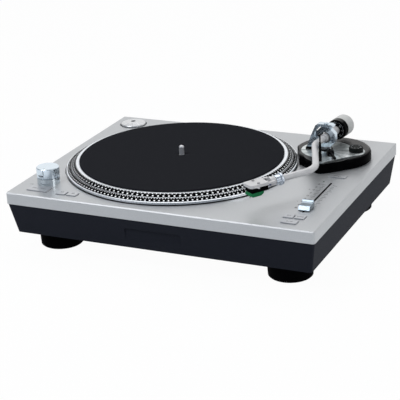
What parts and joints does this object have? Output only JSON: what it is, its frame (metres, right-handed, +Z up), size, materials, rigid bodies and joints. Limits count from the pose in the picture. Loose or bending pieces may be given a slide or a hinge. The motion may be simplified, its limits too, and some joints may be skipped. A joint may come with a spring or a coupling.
{
  "type": "turntable",
  "caption": "Flat record turntable: strobe-edged platter under a felt mat, S-shaped tonearm on a gimbal, pitch slider, push buttons and a power knob tower on rubber feet.",
  "frame": {"origin": "on the floor under the middle of the plinth's plan", "axes": "+X to the player's right, +Y to the rear, +Z up"},
  "size_m": [0.45, 0.356, 0.1417],
  "materials": {
    "deck": "satin",
    "case": "matte",
    "plate": "satin",
    "screw": "satin",
    "rubber": "matte",
    "bronze": "satin",
    "board": "matte",
    "copper": "satin",
    "iron": "matte",
    "dark_plastic": "matte",
    "silver_plastic": "satin",
    "lens": "gloss",
    "base_black": "satin",
    "turned_metal": "brushed",
    "chrome": "polished",
    "steel": "satin",
    "platter_metal": "polished",
    "felt": "felt",
    "magnet": "matte",
    "arm_silver": "satin",
    "cartridge_black": "satin",
    "stylus_green": "gloss",
    "weight_grey": "satin"
  },
  "bodies": {
    "chassis": {"deck_top": "deck", "base_shell": "case", "bottom_plate": "plate", "case_screws": "screw", "feet": "rubber", "foot_screws": "screw", "bearing_sleeve": "bronze", "stator_board": "board", "stator_coils": "copper", "main_board": "board", "transformer": "iron", "board_posts": "bronze", "fader_body": "dark_plastic", "switch_boards": "board", "strobe_tower": "silver_plastic", "strobe_lens": "lens", "power_switch": "dark_plastic", "arm_base": "base_black", "arm_plate": "turned_metal", "arm_disc": "turned_metal", "arm_bridge": "chrome", "arm_screws": "screw", "pivot_sleeve": "steel", "arm_rest": "dark_plastic", "cue_bracket": "dark_plastic", "phono_sockets": "chrome", "ground_post": "chrome", "mains_inlet": "dark_plastic"},
    "platter": {"platter": "platter_metal", "slip_mat": "felt", "spindle": "steel", "rotor_magnet": "magnet"},
    "power_knob": {"power_knob": "silver_plastic"},
    "start_button": {"start_button": "silver_plastic"},
    "speed_low_button": {"speed_low_button": "silver_plastic"},
    "speed_high_button": {"speed_high_button": "silver_plastic"},
    "range_button": {"range_button": "silver_plastic"},
    "reverse_button": {"reverse_button": "silver_plastic"},
    "lock_button": {"lock_button": "silver_plastic"},
    "reset_button": {"reset_button": "silver_plastic"},
    "slider": {"slider_cap": "silver_plastic", "slider_stem": "steel"},
    "yoke": {"gimbal_ring": "chrome", "gimbal_pins": "steel"},
    "arm": {"arm_block": "arm_silver", "arm_tube": "arm_silver", "headshell": "arm_silver", "cartridge": "cartridge_black", "stylus": "stylus_green", "cartridge_screws": "screw"},
    "collar": {"lock_collar": "arm_silver"},
    "dial": {"force_dial": "base_black"},
    "weight": {"counterweight": "weight_grey"},
    "skate_knob": {"skate_knob": "dark_plastic"},
    "cue_lever": {"cue_lever": "dark_plastic"},
    "lift_bar": {"lift_bar": "steel"},
    "latch": {"rest_latch": "dark_plastic"},
    "adapter": {"adapter": "turned_metal"}
  },
  "joints": [
    {"name": "platter_spin", "type": "hinge", "parent": "chassis", "child": "platter", "pos_m": [-0.041, 0.004, 0.095], "axis": [0, 0, -1], "continuous": true},
    {"name": "power_turn", "type": "hinge", "parent": "chassis", "child": "power_knob", "pos_m": [-0.187, -0.124, 0.102], "axis": [0, 0, -1], "range_deg": [0, 45]},
    {"name": "start_press", "type": "slide", "parent": "chassis", "child": "start_button", "axis": [0, 0, -1], "range_m": [0, 0.0014], "stiffness_N_per_m": 300, "springref_m": -0.001},
    {"name": "speed_low_press", "type": "slide", "parent": "chassis", "child": "speed_low_button", "axis": [0, 0, -1], "range_m": [0, 0.0014], "stiffness_N_per_m": 300, "springref_m": -0.001},
    {"name": "speed_high_press", "type": "slide", "parent": "chassis", "child": "speed_high_button", "axis": [0, 0, -1], "range_m": [0, 0.0014], "stiffness_N_per_m": 300, "springref_m": -0.001},
    {"name": "range_press", "type": "slide", "parent": "chassis", "child": "range_button", "axis": [0, 0, -1], "range_m": [0, 0.0014], "stiffness_N_per_m": 300, "springref_m": -0.001},
    {"name": "reverse_press", "type": "slide", "parent": "chassis", "child": "reverse_button", "axis": [0, 0, -1], "range_m": [0, 0.0014], "stiffness_N_per_m": 300, "springref_m": -0.001},
    {"name": "lock_press", "type": "slide", "parent": "chassis", "child": "lock_button", "axis": [0, 0, -1], "range_m": [0, 0.0014], "stiffness_N_per_m": 300, "springref_m": -0.001},
    {"name": "reset_press", "type": "slide", "parent": "chassis", "child": "reset_button", "axis": [0, 0, -1], "range_m": [0, 0.0014], "stiffness_N_per_m": 300, "springref_m": -0.001},
    {"name": "pitch_slide", "type": "slide", "parent": "chassis", "child": "slider", "axis": [0, 1, 0], "range_m": [-0.008, 0.09]},
    {"name": "arm_swing", "type": "hinge", "parent": "chassis", "child": "yoke", "pos_m": [0.1503, 0.0813, 0.121], "axis": [0, 0, -1], "range_deg": [0, 46]},
    {"name": "arm_tilt", "type": "hinge", "parent": "yoke", "child": "arm", "pos_m": [0.1503, 0.0813, 0.121], "axis": [-0.9938, 0.1115, 0], "range_deg": [-0.6, 4]},
    {"name": "weight_turn", "type": "hinge", "parent": "arm", "child": "weight", "pos_m": [0.15632, 0.13496, 0.121], "axis": [-0.1115, -0.9938, 0], "continuous": true},
    {"name": "dial_turn", "type": "hinge", "parent": "weight", "child": "dial", "pos_m": [0.15431, 0.11708, 0.121], "axis": [-0.1115, -0.9938, 0], "continuous": true},
    {"name": "collar_turn", "type": "hinge", "parent": "arm", "child": "collar", "pos_m": [0.14941, -0.09856, 0.121], "axis": [-0.5505, -0.8348, 0], "range_deg": [0, 60]},
    {"name": "skate_turn", "type": "hinge", "parent": "chassis", "child": "skate_knob", "pos_m": [0.194, 0.082, 0.107], "axis": [0, 0, -1], "range_deg": [0, 300]},
    {"name": "cue_raise", "type": "hinge", "parent": "chassis", "child": "cue_lever", "pos_m": [0.16392, 0.05915, 0.1065], "axis": [-0.8517, -0.524, 0], "range_deg": [0, 46]},
    {"name": "bar_rise", "type": "slide", "parent": "chassis", "child": "lift_bar", "axis": [0, 0, 1], "range_m": [0, 0.0045]},
    {"name": "latch_turn", "type": "hinge", "parent": "chassis", "child": "latch", "pos_m": [0.15906, 0.02974, 0.1275], "axis": [0.3518, -0.9361, 0], "range_deg": [0, 90]},
    {"name": "adapter_lift", "type": "slide", "parent": "chassis", "child": "adapter", "axis": [0, 0, 1], "range_m": [0, 0.04]}
  ],
  "couplings": [
    {"joint": "cue_raise", "follows": "bar_rise", "rad_per_m": 174.53}
  ]
}
